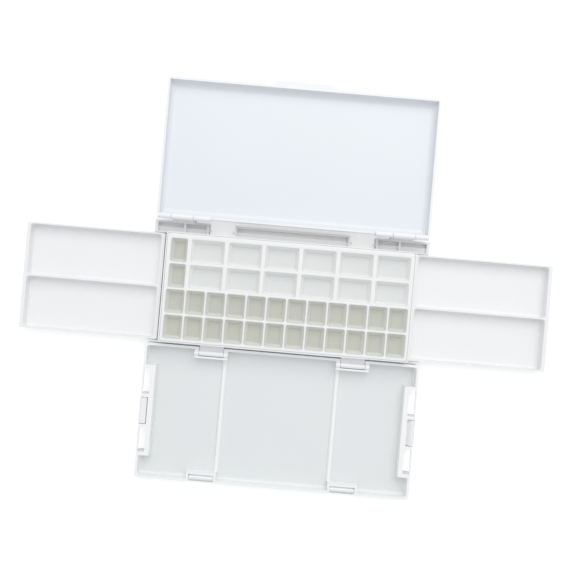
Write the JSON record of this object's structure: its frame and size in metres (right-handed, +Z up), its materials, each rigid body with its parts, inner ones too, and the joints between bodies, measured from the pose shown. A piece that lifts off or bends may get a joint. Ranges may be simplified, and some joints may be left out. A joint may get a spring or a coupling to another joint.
{
  "type": "folding watercolour paint box with drawers",
  "caption": "Shallow paint box with a lift-out well tray, a hinged lid, a fold-over mixing palette, two end drawers, snap catches and swing clasps.",
  "frame": {"origin": "middle of the case's underside, on the surface that the box stands on", "axes": "+X to the right along the case, from drawer to drawer; +Y to the rear, towards the lid's hinge; +Z up"},
  "size_m": [0.4368, 0.3345, 0.0269],
  "materials": {
    "white_plastic": "smooth satin injection-moulded",
    "pin_steel": "drawn wire"
  },
  "bodies": {
    "case": {"base_frame": "white_plastic", "hinge_block_left": "white_plastic", "hinge_block_right": "white_plastic"},
    "tray": {"well_tray": "white_plastic"},
    "lid": {"lid": "white_plastic", "lid_hinge_pin_left": "pin_steel", "lid_hinge_pin_right": "pin_steel"},
    "palette": {"palette": "white_plastic", "palette_hinge_pin_left": "pin_steel", "palette_hinge_pin_right": "pin_steel", "rear_catch_pin_left": "pin_steel", "rear_catch_pin_right": "pin_steel", "side_clasp_pin_left": "pin_steel", "side_clasp_pin_right": "pin_steel"},
    "drawer_left": {"drawer_left": "white_plastic"},
    "drawer_right": {"drawer_right": "white_plastic"},
    "catch_left": {"rear_catch_left": "white_plastic"},
    "catch_right": {"rear_catch_right": "white_plastic"},
    "clasp_left": {"side_clasp_left": "white_plastic"},
    "clasp_right": {"side_clasp_right": "white_plastic"}
  },
  "joints": [
    {"name": "lid_hinge", "type": "hinge", "parent": "case", "child": "lid", "pos_m": [0, 0.0526, 0.0247], "axis": [1, 0, 0], "range_deg": [0, 180]},
    {"name": "palette_hinge", "type": "hinge", "parent": "case", "child": "palette", "pos_m": [0, -0.0571, 0.0133], "axis": [-1, 0, 0], "range_deg": [0, 180]},
    {"name": "drawer_left_slide", "type": "slide", "parent": "case", "child": "drawer_left", "axis": [1, 0, 0], "range_m": [0, 0.1044]},
    {"name": "drawer_right_slide", "type": "slide", "parent": "case", "child": "drawer_right", "axis": [-1, 0, 0], "range_m": [-0.0022, 0.1022]},
    {"name": "tray_lift", "type": "slide", "parent": "case", "child": "tray", "axis": [0, 0, -1], "range_m": [-0.04, 0]},
    {"name": "catch_left_hinge", "type": "hinge", "parent": "palette", "child": "catch_left", "pos_m": [-0.0586, -0.1602, 0.0116], "axis": [-1, 0, 0], "range_deg": [-25, 155]},
    {"name": "catch_right_hinge", "type": "hinge", "parent": "palette", "child": "catch_right", "pos_m": [0.0586, -0.1602, 0.0116], "axis": [-1, 0, 0], "range_deg": [-25, 155]},
    {"name": "clasp_left_hinge", "type": "hinge", "parent": "palette", "child": "clasp_left", "pos_m": [-0.1124, -0.1084, 0.0116], "axis": [0, 1, 0], "range_deg": [0, 180]},
    {"name": "clasp_right_hinge", "type": "hinge", "parent": "palette", "child": "clasp_right", "pos_m": [0.1124, -0.1084, 0.0116], "axis": [0, -1, 0], "range_deg": [-40, 140]}
  ]
}
